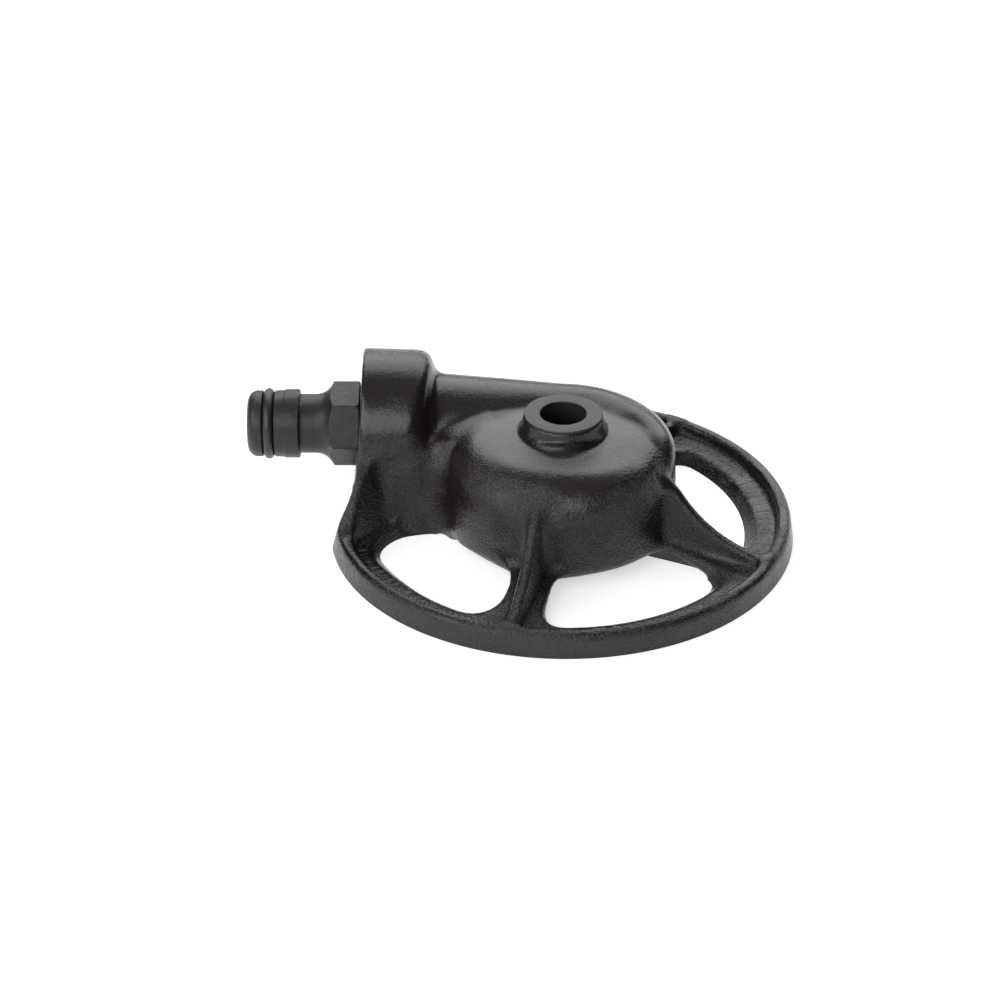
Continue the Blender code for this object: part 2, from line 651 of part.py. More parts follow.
def make_nipple(parts, cutters, axis):
    """The hose nipple, turned about the inlet's axis, with its tip towards the hose."""
    hex_radius = HEX_FLATS / 2 / cos(pi / 6)
    groove = NIPPLE_RADIUS + O_RING_PROUD - O_RING_SECTION - CLEARANCE
    stations = [TIP_LENGTH, GROOVE_WIDTH, COLLAR_STEP, COLLAR_LENGTH - COLLAR_STEP, NECK_LENGTH,
                FLARE_LENGTH, HEX_LENGTH]
    places = [sum(stations[:i]) for i in range(len(stations) + 1)]
    tip, groove_start, groove_end, step, neck, flare, hexagon, seat = places
    profile = [(NIPPLE_BORE_RADIUS, 0.0)]
    profile += arc((NIPPLE_RADIUS - TIP_ROUND, -TIP_ROUND), TIP_ROUND, pi / 2, 0.0, 6)
    profile += [(NIPPLE_RADIUS, -groove_start), (groove, -groove_start), (groove, -groove_end)]
    profile += [(NIPPLE_RADIUS, -groove_end), (NIPPLE_RADIUS, -step), (COLLAR_RADIUS, -step)]
    profile += [(COLLAR_RADIUS, -neck), (NECK_RADIUS, -neck)]
    rise = hex_radius - NECK_RADIUS
    bend = (rise**2 + FLARE_LENGTH**2) / (2 * rise)
    swing = asin(FLARE_LENGTH / bend)
    profile += [
        (NECK_RADIUS + bend - bend * cos(swing * i / 6), -flare - bend * sin(swing * i / 6))
        for i in range(7)
    ]
    shank_end = seat + CLEARANCE + seat_depth + SHANK_LENGTH - CLEARANCE
    profile += [(hex_radius, -seat), (SHANK_RADIUS, -seat), (SHANK_RADIUS, -shank_end)]
    profile += [(NIPPLE_BORE_RADIUS, -shank_end)]
    nipple = turned("hose_nipple", profile, parts, axis, closed=True)
    sides = [polar(hex_radius, pi / 3 * i + pi / 6 - HEX_TURN) for i in range(6)]
    wide = [polar(FAR / 2, pi / 3 * i) for i in range(6)]
    flats = guide(slab("hexagon_flats", wide, -seat, -flare, cutters, axis))
    hexagon_core = guide(slab("hexagon_core", sides, -FAR, FAR, cutters, axis))
    cut(flats, hexagon_core)
    cut(nipple, flats)
    return nipple


def make_o_ring(parts, axis):
    centre = NIPPLE_RADIUS + O_RING_PROUD - O_RING_SECTION / 2
    bpy.ops.mesh.primitive_torus_add(
        major_radius=centre, minor_radius=O_RING_SECTION / 2, major_segments=40, minor_segments=12
    )
    ring = bpy.context.object
    ring.name = ring.data.name = "nipple_o_ring"
    for group in list(ring.users_collection):
        group.objects.unlink(ring)
    parts.objects.link(ring)
    ring.parent = axis
    ring.location = (0.0, 0.0, -(TIP_LENGTH + GROOVE_WIDTH / 2))
    return ring


def make_washer(parts, axis):
    inner = SHANK_RADIUS + CLEARANCE
    start = -nipple_reach - CLEARANCE
    return turned(
        "thread_washer",
        [(WASHER_RADIUS, start), (WASHER_RADIUS, start - WASHER_THICKNESS),
         (inner, start - WASHER_THICKNESS), (inner, start)],
        parts, axis, closed=True,
    )


def finish(thing, look):
    thing.data.materials.clear()
    thing.data.materials.append(look)
    shade(thing)


def build():
    clear_scene()
    parts = collection("ring_foot_sprinkler")
    pattern = collection("casting_pattern")
    cutters = collection("cutters")
    iron = material("painted_cast_iron", (0.045, 0.043, 0.042), 0.5, 0.0)
    plastic = material("black_plastic", (0.05, 0.05, 0.052), 0.42, 0.0)
    seal_rubber = material("seal_rubber", (0.02, 0.02, 0.02), 0.45, 0.0)
    washer_rubber = material("washer_rubber", (0.03, 0.03, 0.03), 0.65, 0.0)

    nozzle_axis = bpy.data.objects.new("nozzle_axis", None)
    parts.objects.link(nozzle_axis)
    nozzle_axis.location.x = centring
    nipple_axis = bpy.data.objects.new("nipple_axis", None)
    parts.objects.link(nipple_axis)
    nipple_axis.parent = nozzle_axis
    nipple_axis.location = (nipple_tip, inlet_y, inlet_z)
    nipple_axis.rotation_euler.y = -pi / 2
    bpy.context.view_layer.update()

    finish(make_casting(parts, pattern, cutters, nozzle_axis), iron)
    finish(make_nipple(parts, cutters, nipple_axis), plastic)
    finish(make_o_ring(parts, nipple_axis), seal_rubber)
    finish(make_washer(parts, nipple_axis), washer_rubber)


build()
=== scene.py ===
"""Looks of the stationary ring-foot sprinkler: a sand-cast iron body under satin black paint, and a
moulded black hose nipple with its seals.

The casting's skin is described as a signed field in millimetres, where every joint between two forms
can have its own fillet. It is then meshed on a grid and each point is drawn onto the field's zero.
The turned pieces (nozzle, nipple, seals) are profiles swept about their axes.
"""

from math import cos, pi, radians, sin

import bmesh
import bpy
import numpy as np
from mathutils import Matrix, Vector


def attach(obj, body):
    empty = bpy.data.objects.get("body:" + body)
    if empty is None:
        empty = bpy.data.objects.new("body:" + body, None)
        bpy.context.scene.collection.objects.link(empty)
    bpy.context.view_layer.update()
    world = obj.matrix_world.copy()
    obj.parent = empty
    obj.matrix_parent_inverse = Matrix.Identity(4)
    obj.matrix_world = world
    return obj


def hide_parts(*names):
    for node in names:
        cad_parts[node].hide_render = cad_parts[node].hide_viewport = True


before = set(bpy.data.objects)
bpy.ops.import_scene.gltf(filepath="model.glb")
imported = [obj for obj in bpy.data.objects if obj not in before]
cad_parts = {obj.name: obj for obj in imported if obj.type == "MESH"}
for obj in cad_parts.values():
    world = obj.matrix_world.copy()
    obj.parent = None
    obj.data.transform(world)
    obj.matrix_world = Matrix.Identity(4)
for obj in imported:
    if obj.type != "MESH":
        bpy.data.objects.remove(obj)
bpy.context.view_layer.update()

MM = 0.001
AXIS_X = 9.8  # where the nozzle's axis stands, along X
GRID = 0.7  # step of the casting's grid

# All places and sizes below are in millimetres from the nozzle's axis at the floor
SPOKES = ((-104.2, 4.75), (-25.1, 4.3), (56.0, 4.7))  # azimuth in degrees, half the web's width
RING_RADIUS = 52.95
RIM_INNER_RADIUS = 49.1
RIM_TOP = 5.72
LEDGE_RADIUS = 44.7
LEDGE_TOP = 2.8

CHAMBER_RADIUS = 25.75
CHAMBER_TOP = 26.15
CHAMBER_UNDERSIDE = 2.85
SHOULDER_RADIUS = 7.0
CURL_TURN = 125.0  # how far the pipe goes round the chamber before it is lost in it, in degrees
CURL_REACH = 26.4  # how far out the curl's far side goes

INLET_Y = 18.0
INLET_Z = 17.9
PIPE_RADIUS = 9.4
PIPE_CREST = 27.3
FACE_X = -46.5
BOSS_END_X = -29.6
BOSS_RADIUS = 17.57
FOOT_SPREAD = 1.6  # how much further out the boss's and pedestal's sides are at the floor

COLLAR_RADIUS = 9.65
COLLAR_TOP = 27.5
NOZZLE_RADIUS = 8.8
NOZZLE_TOP = 30.8
NOZZLE_SLOPE = 0.21
NOZZLE_BORE_RADIUS = 5.45

HOLLOW_RADIUS = 22.2
HOLLOW_TOP = 22.3
HOLLOW_FLOOR = 6.1
THREAD_RADIUS = 8.4
SEAT_RADIUS = 10.7
SEAT_DEPTH = 1.8


# Combining fields: negative is inside the iron


def join(a, b, blend):
    """Union with a fillet. The fillet's radius is about 0.85 of blend."""
    share = np.clip(0.5 + 0.5 * (b - a) / blend, 0.0, 1.0)
    return b + (a - b) * share - blend * share * (1.0 - share)


def meet(a, b, blend):
    """Intersection with a rounded edge."""
    return -join(-a, -b, blend)


def ramp(value, start, end):
    share = np.clip((value - start) / (end - start), 0.0, 1.0)
    return share * share * (3.0 - 2.0 * share)


def rounded_step(across, up, corner):
    """Distance to a corner between a wall and a top, both given as distances past them."""
    a, b = across + corner, up + corner
    return np.minimum(np.maximum(a, b), 0.0) + np.hypot(np.maximum(a, 0.0), np.maximum(b, 0.0)) - corner


def chamber_field(x, y, z, rho):
    """The whirl chamber's outside, with a lower shoulder in front and a flat underside."""
    turn = np.degrees(np.arctan2(y, x))
    left, right = ramp(-x, 2.0, 14.0), ramp(x, 2.0, 14.0)
    front = np.exp(-(((turn + 96.0) / 32.0) ** 2))
    wall = CHAMBER_RADIUS - 0.0125 * (left + right) * np.clip(z - 13.0, 0.0, 14.0) ** 2
    top = CHAMBER_TOP - 0.085 * np.clip(rho - 10.0, 0.0, 16.0)
    top = top + 0.022 * front * np.clip(16.2 - rho, 0.0, 8.0) ** 2
    shoulder = SHOULDER_RADIUS + 3.2 * front - 1.0 * left - right * (2.3 - 2.0 * ramp(turn, -46.0, -24.0))
    upper = rounded_step(rho - wall, z - top, shoulder)
    near_corner = np.exp(-(((turn + 160.0) / 14.0) ** 2))
    lower = rounded_step(rho - wall, CHAMBER_UNDERSIDE - z, 2.3 - 2.0 * near_corner)
    return np.where(z > 13.0, upper, lower)


def arch_field(across, z, middle, radius):
    return np.where(z > middle, np.hypot(across, z - middle), np.abs(across)) - radius


def pipe_field(x, y, z, rho):
    """The inlet pipe, which runs straight to the nozzle's plane and then curls into the chamber."""
    across = np.where(y < INLET_Y, np.minimum(y - INLET_Y + 0.5, 0.0), y - INLET_Y)
    slim = np.where(y > INLET_Y, 1.0 - ramp(-x, 0.0, 12.0), 0.0)
    straight = arch_field(
        across, z, INLET_Z + slim, PIPE_RADIUS + 2.35 * np.clip(-x, 0.0, 40.0) / 29.0 - slim
    )
    straight = np.maximum(straight, -36.0 - x)
    share = np.clip((pi / 2 - np.arctan2(y, x)) / radians(CURL_TURN), 0.0, 1.0)
    reach = INLET_Y + 2.6 * ramp(share, 0.42, 0.78)
    radius = np.minimum(
        PIPE_RADIUS - 0.1 * share, CURL_REACH - 0.9 * ramp(share, 0.4, 0.65) - reach
    )
    crest = PIPE_CREST - 0.6 * share - 1.9 * ramp(share, 0.45, 0.95) - 3.0 * ramp(share, 0.72, 0.95)
    across = rho - reach
    inner_side = np.minimum(across + 0.5 - 0.5 * ramp(share, 0.0, 0.3), 0.0)
    inner_side = inner_side * (1.0 + 0.7 * ramp(share, 0.1, 0.45))
    across = np.where(across < 0.0, inner_side, across)
    curl = arch_field(across, z, crest - radius, radius)
    curl = np.where(share >= 1.0, 10.0, curl)
    inlet = np.where(x < 0.0, straight, curl)
    return meet(inlet, 2.7 - z, 2.0), np.where(x < 0.0, 0.0, share)


def front_wall(z, inset):
    """Where the pedestal's front stands in y, sloping out towards the floor."""
    return INLET_Y - inset - FOOT_SPREAD * (INLET_Z - z) / INLET_Z


def boss_field(x, y, z):
    drop = np.clip(INLET_Z - z, 0.0, 30.0)
    radius = BOSS_RADIUS - 0.03 * (x - FACE_X)
    around = arch_field(y - INLET_Y, z, INLET_Z, radius + FOOT_SPREAD * drop / INLET_Z)
    face = FACE_X - 0.05 * (INLET_Z - z) - x
    end = x - BOSS_END_X + 0.11 * np.clip(INLET_Y - y, 0.0, 18.0)
    return meet(meet(around, face, 1.0), end, 4.2)


def throat_field(x, y, z):
    """The wall under the boss and pipe. Its top is a ramp that comes down from the chamber's crown."""
    front = front_wall(z, 17.3)
    ramp_top = z - 25.5 + 0.0173 * np.clip(-x - 15.0, 0.0, 30.0) ** 2 + 0.15 * np.clip(8.0 - y, -2.0, 20.0)
    block = meet(front - y, ramp_top * 0.94, 1.8 + 3.7 * ramp(-x, 24.0, 29.0))
    block = meet(block, x + 16.5, 1.5)
    block = meet(block, 2.9 - z - 12.0 * ramp(-x, 22.0, 26.0), 1.0)
    return np.maximum(block, np.maximum(-38.0 - x, y - 22.0))


def left_side(y, z):
    """Where the casting ends towards the hose: the boss's face, which flares out to the ring's foot."""
    reach = 1.1 + 5.0 * np.clip((INLET_Y - y) / 24.5, 0.0, 1.4) ** 1.7
    rise = np.clip(z / 18.4, 0.0, 1.0)
    return FACE_X - reach * (1.0 - rise) ** np.interp(y, (-12.0, 2.0), (0.9, 1.5))


def rim_field(x, y, z, rho):
    """The ring's upright rim, which climbs to the boss as a gusset on the hose's side.

    The gusset's inner side is one plane turned to the chamber. Its crest slopes at 52 degrees, and at 35
    degrees near the boss.
    """
    left = (x < 0.0) & (y < 12.0)
    outer = (rho - RING_RADIUS) * 0.99 + z * 0.139
    side = np.where((x < 0.0) & (y > -16.0) & (y < 34.0), (left_side(y, z) - x) * 0.95, -10.0)
    near = np.where(x < 0.0, ramp(y, -22.0, -13.0), 0.0)
    outer = meet(outer, side, 1.2)
    slope = (z - 12.2 - 1.28 * (y + 6.5)) * 0.616
    slope = np.maximum(slope, (z - 18.2 - 0.71 * np.minimum(y, 0.4)) * 0.815)
    top = np.where(left, join(z - RIM_TOP, slope, 2.6), z - RIM_TOP)
    inner = RIM_INNER_RADIUS - rho + 0.08 * (z - LEDGE_TOP)
    facet = 0.75 * (x + 40.6) - 0.61 * (y + 0.8) + 0.25 * (z - 9.5)
    facet = np.maximum(facet, np.maximum(x + 35.0, y - 6.0))
    inner = np.where(left, join(inner, facet, 3.0), inner)
    return meet(meet(outer, top, 1.8 - 0.8 * near), inner, 1.3 - 0.6 * near)


def crest_height(along):
    """A rib's height and its slope, by distance from the nozzle's axis."""
    inward = np.clip(47.6 - along, 0.0, 30.0)
    return 5.6 + 0.28 * inward + 0.00098 * inward**3, 0.28 + 0.00294 * inward**2


def spoke_fields(x, y, z):
    """The ribs, which have no lower end and so reach the floor, and the plan of their webs."""
    rib = np.full(x.shape, 20.0, x.dtype)
    web = np.full(x.shape, 20.0, x.dtype)
    for azimuth, half in SPOKES:
        c, s = cos(radians(azimuth)), sin(radians(azimuth))
        along, aside = x * c + y * s, np.abs(y * c - x * s)
        crest, slope = crest_height(along)
        drop = np.clip(crest - z, 0.0, 12.0)
        one = meet(aside - 1.3 - 0.06 * drop, (z - crest) / np.sqrt(1.0 + slope**2), 1.3)
        one = meet(one, z - 20.0, 3.0)
        one = np.maximum(one, np.maximum(20.0 - along, along - 50.0))
        rib = np.minimum(rib, one)
        web = np.minimum(web, np.maximum(aside - half, -along))
    return rib, web


def plate_field(x, y, z, rho, web):
    """The ledge inside the rim, and the dished webs from there to the chamber."""
    turn = np.degrees(np.arctan2(y, x))
    wide = 1.3 * np.exp(-(((turn + 163.0) / 12.0) ** 2))
    ledge = (LEDGE_RADIUS + wide - np.clip(LEDGE_TOP - z, -1.0, 3.2) - rho) * 0.72
    corner = np.interp(turn, (-125.0, -104.2, -102.0, -50.0, -25.0, -20.0), (9.5, 9.5, 6.4, 7.4, 7.4, 6.4))
    root = np.interp(turn, (-102.0, -90.0, -50.0, -25.0, -20.0), (11.0, 11.0, 5.0, 5.0, 9.0))
    plan = join(ledge, join(web, rho - 22.5, root), corner)
    arm = np.maximum(0.6 - 0.41 * np.clip(-30.0 - x, 0.0, 20.0) - y, x + 21.0)
    arm = np.maximum(arm, y - INLET_Y - 4.0)
    plan = join(plan, arm, 10.0)
    sunk = 6.0 * ramp(-x, 27.0, 31.0)
    top = np.interp(rho, (24.0, 30.0, 36.0, 43.5), (5.9, 4.7, 3.6, LEDGE_TOP))
    floor = np.interp(rho, (25.0, 29.0, 31.6, 34.4, 38.0, 40.0), (3.8, 3.6, 2.4, 1.3, 0.0, -3.0))
    slab = np.maximum(z - top, floor - sunk - z)
    plate = meet(plan, slab, np.interp(rho, (38.0, 42.0), (1.4, 0.7)))
    bevel = (z - 0.3 + 1.3 * plan) / 1.64 - 8.0 * (
        1.0 - ramp(-x, 22.0, 27.0) * ramp(x, -40.5, -36.5) * ramp(y, -20.0, -12.0)
    )
    plate = meet(plate, bevel, 1.0)
    return np.maximum(plate, np.maximum(rho - 51.0, -48.5 - x))


def segment_field(x, y, z, start, end, radii):
    """A round bar between two points with a radius at each."""
    a, b = np.array(start), np.array(end)
    d = b - a
    t = np.clip(((x - a[0]) * d[0] + (y - a[1]) * d[1] + (z - a[2]) * d[2]) / (d @ d), 0.0, 1.0)
    gap = np.sqrt((x - a[0] - t * d[0]) ** 2 + (y - a[1] - t * d[1]) ** 2 + (z - a[2] - t * d[2]) ** 2)
    return gap - (radii[0] + (radii[1] - radii[0]) * t)


def water_field(x, y, z, rho):
    """Everything that the core and the drills leave empty."""
    hollow = np.where(
        z > 14.0,
        rounded_step(rho - HOLLOW_RADIUS, z - HOLLOW_TOP, 5.0),
        rounded_step(rho - HOLLOW_RADIUS, HOLLOW_FLOOR - z, 5.0),
    )
    channel = segment_field(x, y, z, (-36.0, INLET_Y, INLET_Z), (0.0, 17.6, 14.3), (6.0, 4.6))
    bore = np.maximum(rho - NOZZLE_BORE_RADIUS, 16.0 - z)
    round_x = np.hypot(y - INLET_Y, z - INLET_Z)
    thread = np.maximum(round_x - THREAD_RADIUS, x + 33.0)
    seat = np.maximum(round_x - SEAT_RADIUS, x - FACE_X - SEAT_DEPTH)
    return np.minimum(np.minimum(join(hollow, channel, 2.0), bore), np.minimum(thread, seat))


def casting_field(x, y, z):
    rho = np.hypot(x, y)
    chamber = chamber_field(x, y, z, rho)
    pipe, curl = pipe_field(x, y, z, rho)
    inside = np.where(x < 0.0, ramp(y, 22.0, 14.0), ramp(rho, 22.0, 14.0))
    valley = 0.6 + 1.9 * ramp(curl, 0.08, 0.35)
    body = join(chamber, pipe, 0.3 + valley * inside * (1.0 - ramp(curl, 0.3, 0.95)))
    throat = throat_field(x, y, z)
    body = join(body, throat, 5.5 - 4.3 * ramp(z, 15.0, 21.0))
    corner = join(front_wall(z, 17.25) - y, rho - 25.5, 7.0)
    foot = np.interp(y, (-12.0, -9.0, -7.0, -5.0, -4.0), (4.0, 2.9, 2.0, 0.7, -0.5))
    corner = meet(meet(corner, foot - z, 1.5), z - 13.0, 3.0)
    body = np.minimum(body, np.maximum(corner, np.maximum(np.maximum(x + 21.0, -36.0 - x), y - 8.0)))
    boss = boss_field(x, y, z)
    body = join(body, boss, 3.2)
    front = np.exp(-(((np.degrees(np.arctan2(y, x)) + 93.0) / 40.0) ** 2))
    # Neither of the nozzle's two forms has a lower end, so they also fill the space under the chamber
    body = join(body, meet(rho - COLLAR_RADIUS, z - COLLAR_TOP, 0.15), 1.2 + 2.4 * front)
    cone = (rho - NOZZLE_RADIUS - NOZZLE_SLOPE * (NOZZLE_TOP - z)) * 0.98
    body = join(body, meet(cone, z - 30.4, 0.3), 0.2)
    rib, web = spoke_fields(x, y, z)
    plate = plate_field(x, y, z, rho, web)
    foot = join(plate, rim_field(x, y, z, rho), np.interp(y, (0.0, 10.0), (1.2, 2.4)))
    iron = join(body, foot, np.interp(x, (-42.0, -37.0, -27.0, -22.0), (1.6, 3.6, 3.6, 2.6)))
    iron = join(iron, rib, 2.4)
    return meet(iron, -water_field(x, y, z, rho), 0.45)


# Meshing a field


def net(field, low, step):
    """Surface nets: one point in each cell that the surface crosses, and a quad over each crossed edge."""
    inside = field < 0.0
    shape = tuple(n - 1 for n in field.shape)
    total = np.zeros((*shape, 3), np.float32)
    count = np.zeros(shape, np.float32)
    whole = [slice(0, n) for n in shape]
    for axis in range(3):
        others = [a for a in range(3) if a != axis]
        for i in (0, 1):
            for j in (0, 1):
                first = list(whole)
                first[others[0]] = slice(i, shape[others[0]] + i)
                first[others[1]] = slice(j, shape[others[1]] + j)
                second = list(first)
                second[axis] = slice(1, shape[axis] + 1)
                a, b = field[tuple(first)], field[tuple(second)]
                crossed = (a < 0.0) != (b < 0.0)
                share = np.where(crossed, a / np.where(crossed, a - b, 1.0), 0.0)
                total[..., axis] += share
                total[..., others[0]] += crossed * np.float32(i)
                total[..., others[1]] += crossed * np.float32(j)
                count += crossed
    live = count > 0
    index = np.full(shape, -1, np.int64)
    index[live] = np.arange(int(live.sum()))
    cells = np.argwhere(live)
    points = (cells + total[live] / count[live][:, None]) * step + np.array(low)
    quads = []
    for axis in range(3):
        u, v = (axis + 1) % 3, (axis + 2) % 3
        near, far = [slice(None)] * 3, [slice(None)] * 3
        near[axis], far[axis] = slice(0, -1), slice(1, None)
        crossed = np.argwhere(inside[tuple(near)] != inside[tuple(far)])
        keep = (crossed[:, u] > 0) & (crossed[:, v] > 0)
        keep &= (crossed[:, u] < shape[u]) & (crossed[:, v] < shape[v])
        crossed = crossed[keep]
        corners = []
        for du, dv in ((-1, -1), (0, -1), (0, 0), (-1, 0)):
            place = crossed.copy()
            place[:, u] += du
            place[:, v] += dv
            corners.append(index[place[:, 0], place[:, 1], place[:, 2]])
        quad = np.stack(corners, 1)
        outward = inside[crossed[:, 0], crossed[:, 1], crossed[:, 2]]
        quad[~outward] = quad[~outward][:, ::-1]
        quads.append(quad)
    return points, np.concatenate(quads)


def drawn_to_zero(points, function, step, rounds=3):
    """Moves points along the field's gradient until they lie on its surface."""
    start = points.copy()
    nudge = 0.05
    for _ in range(rounds):
        value = function(*points.T)
        gradient = np.stack([
            function(*(points + offset).T) - function(*(points - offset).T)
            for offset in np.eye(3) * nudge
        ], 1) / (2 * nudge)
        size = np.maximum((gradient**2).sum(1), 0.09)
        points = points - gradient * (value / size)[:, None]
        moved = points - start
        far = np.linalg.norm(moved, axis=1)
        points = start + moved * np.minimum(1.0, 0.7 * step / np.maximum(far, 1e-9))[:, None]
    return points


def mesh_from(name, points, faces):
    """A mesh in metres in the row frame, from points in millimetres about the nozzle's axis."""
    mesh = bpy.data.meshes.new(name)
    metres = (points + np.array((AXIS_X, 0.0, 0.0))) * MM
    mesh.from_pydata(metres.tolist(), [], faces.tolist() if hasattr(faces, "tolist") else faces)
    mesh.validate()
    made = bpy.data.objects.new(name, mesh)
    bpy.context.scene.collection.objects.link(made)
    return made


def make_casting():
    step = GRID
    low = np.array((-54.4, -54.4, -2.0))
    high = np.array((54.4, 54.4, 37.2))
    axes = [np.arange(low[i], high[i] + step, step, dtype=np.float32) for i in range(3)]
    x, y, z = np.meshgrid(*axes, indexing="ij")
    field = casting_field(x, y, z)
    points, quads = net(field, low, step)
    points = drawn_to_zero(points, casting_field, step)
    made = mesh_from("casting_skin", points, quads)
    shape = bmesh.new()
    shape.from_mesh(made.data)
    cut = bmesh.ops.bisect_plane(
        shape, geom=[*shape.verts, *shape.edges, *shape.faces], dist=1e-6,
        plane_co=(0.0, 0.0, 0.0), plane_no=(0.0, 0.0, 1.0), clear_inner=True,
    )
    rim = [e for e in cut["geom_cut"] if isinstance(e, bmesh.types.BMEdge)]
    filled = bmesh.ops.triangle_fill(shape, use_beauty=True, use_dissolve=False, edges=rim, normal=(0, 0, -1))
    for edge in rim:
        edge.smooth = False
    for face in filled["geom"]:
        if isinstance(face, bmesh.types.BMFace) and face.normal.z > 0.0:
            face.normal_flip()
    for vertex in shape.verts:
        vertex.co.z = max(vertex.co.z, 0.0)
    for face in shape.faces:
        face.smooth = True
    shape.to_mesh(made.data)
    shape.free()
    return made


# Turned pieces


def turned(name, profile, steps, place, hexagon=None, first=0.0):
    """A closed profile of (radius, along) swept about an axis, as a mesh.

    place turns (along, a, b) into a point in millimetres. hexagon is (start, end, flats): between
    those two places the radius is held to a hexagon's sides.
    """
    angles = [first + 2 * pi * i / steps for i in range(steps)]
    points = []
    for radius, along in profile:
        for angle in angles:
            r = radius
            if hexagon and hexagon[0] <= along <= hexagon[1]:
                turn = (angle - first) % (pi / 3) - pi / 6
                r = min(r, hexagon[2] / 2 / cos(turn))
            points.append(place(along, r * cos(angle), r * sin(angle)))
    faces = []
    count = len(profile)
    for i in range(count):
        k = (i + 1) % count
        for j in range(steps):
            n = (j + 1) % steps
            faces.append((i * steps + j, k * steps + j, k * steps + n, i * steps + n))
    made = mesh_from(name, np.array(points), faces)
    shape = bmesh.new()
    shape.from_mesh(made.data)
    bmesh.ops.recalc_face_normals(shape, faces=shape.faces)
    for face in shape.faces:
        face.smooth = True
    shape.to_mesh(made.data)
    shape.free()
    return made


def arc(centre, radius, start, end, steps):
    return [
        (centre[0] + radius * cos(start + (end - start) * i / steps),
         centre[1] + radius * sin(start + (end - start) * i / steps))
        for i in range(steps + 1)
    ]


def soft_profile(corners, steps=4):
    """A profile whose corners are rounded. Each corner is (radius, along, rounding)."""
    points = []
    count = len(corners)
    for i, (r, a, rounding) in enumerate(corners):
        here = Vector((r, a))
        before = Vector(corners[i - 1][:2])
        after = Vector(corners[(i + 1) % count][:2])
        if rounding <= 0.0:
            points.append((r, a))
            continue
        d1, d2 = (before - here), (after - here)
        reach = min(rounding, d1.length * 0.49, d2.length * 0.49)
        p1, p2 = here + d1.normalized() * reach, here + d2.normalized() * reach
        for k in range(steps + 1):
            t = k / steps
            place = p1 * (1 - t) ** 2 + here * 2 * t * (1 - t) + p2 * t * t
            points.append((place.x, place.y))
    return points


def upright(along, a, b):
    return (a, b, along)


def inlet_place(tip):
    def place(along, a, b):
        return (tip + along, INLET_Y + a, INLET_Z + b)
    return place


def make_nozzle():
    corners = [
        (5.2, 21.8, 0.0), (6.4, 21.8, 0.0), (6.4, 29.8, 0.0),
        (8.86, 29.8, 0.0), (8.84, NOZZLE_TOP, 0.22), (5.2, NOZZLE_TOP, 0.3),
    ]
    return turned("nozzle_face", soft_profile(corners), 128, upright)


NIPPLE_TIP = -72.6


def make_nipple():
    """The nipple from its tip along to its shank: tip, seal groove, collar, neck, flare, hexagon."""
    hex_radius = 9.75
    neck = 6.85
    bore = 4.6
    shank = 8.1
    flare_start, flare_end = 15.7, 20.0
    rise = hex_radius + 0.15 - neck
    bend = (rise**2 + (flare_end - flare_start) ** 2) / (2 * rise)
    swing = np.arcsin((flare_end - flare_start) / bend)
    profile = [(bore, 0.3), *arc((5.38, 2.4), 2.3, -pi / 2, 0.0, 10)]
    profile += soft_profile([
        (7.68, 2.9, 0.0), (7.68, 3.55, 0.2), (5.5, 3.6, 0.0), (5.5, 6.3, 0.0),
        (7.7, 6.35, 0.2), (7.75, 8.5, 0.1), (7.95, 8.7, 0.15), (7.98, 12.05, 0.25), (6.95, 12.15, 0.2),
    ], 6)
    profile += [(neck, 12.6), (neck, 13.5), (neck, 14.5), (neck, 15.5)]
    profile += [
        (neck + bend - bend * cos(swing * i / 16), flare_start + bend * sin(swing * i / 16))
        for i in range(17)
    ]
    profile += [(hex_radius + 0.2, along) for along in np.arange(20.2, 25.7, 0.5)]
    profile += [(hex_radius + 0.2, 25.85), (hex_radius - 0.3, 26.1)]
    profile += [(shank, 26.1), (shank, 38.9), (bore, 38.9)]
    profile += [(bore, along) for along in (30.0, 20.0, 10.0)]
    return turned(
        "nipple_body", profile, 240, inlet_place(NIPPLE_TIP),
        hexagon=(18.0, 26.2, 17.0), first=radians(6.8),
    )


def make_o_ring():
    profile = [
        (7.0 + 1.2 * cos(2 * pi * i / 24), 4.95 + 1.2 * sin(2 * pi * i / 24)) for i in range(24)
    ]
    return turned("o_ring", profile, 160, inlet_place(NIPPLE_TIP))


def make_washer():
    profile = soft_profile([(10.4, 26.4, 0.2), (10.4, 27.6, 0.2), (8.4, 27.6, 0.2), (8.4, 26.4, 0.2)])
    return turned("seal_washer", profile, 96, inlet_place(NIPPLE_TIP))


# Materials


def new_material(name):
    made = bpy.data.materials.new(name)
    made.use_nodes = True
    tree = made.node_tree
    return made, tree, tree.nodes["Principled BSDF"]


def node(tree, kind, **values):
    made = tree.nodes.new(kind)
    for key, value in values.items():
        if key in made.inputs:
            made.inputs[key].default_value = value
        else:
            setattr(made, key, value)
    return made


def noise(tree, scale, detail=3.0, roughness=0.5, distortion=0.0, stretch=(1.0, 1.0, 1.0)):
    """Noise in the object's own millimetres, so its grain has a real size."""
    place = node(tree, "ShaderNodeTexCoord")
    fit = node(tree, "ShaderNodeMapping")
    fit.inputs["Scale"].default_value = tuple(1000.0 * s for s in stretch)
    tree.links.new(place.outputs["Object"], fit.inputs["Vector"])
    made = node(tree, "ShaderNodeTexNoise")
    made.inputs["Scale"].default_value = scale
    made.inputs["Detail"].default_value = detail
    made.inputs["Roughness"].default_value = roughness
    made.inputs["Distortion"].default_value = distortion
    tree.links.new(fit.outputs["Vector"], made.inputs["Vector"])
    return made


def mapped(tree, source, low, high, to_low, to_high):
    made = node(tree, "ShaderNodeMapRange")
    made.inputs["From Min"].default_value = low
    made.inputs["From Max"].default_value = high
    made.inputs["To Min"].default_value = to_low
    made.inputs["To Max"].default_value = to_high
    tree.links.new(source, made.inputs["Value"])
    return made.outputs["Result"]


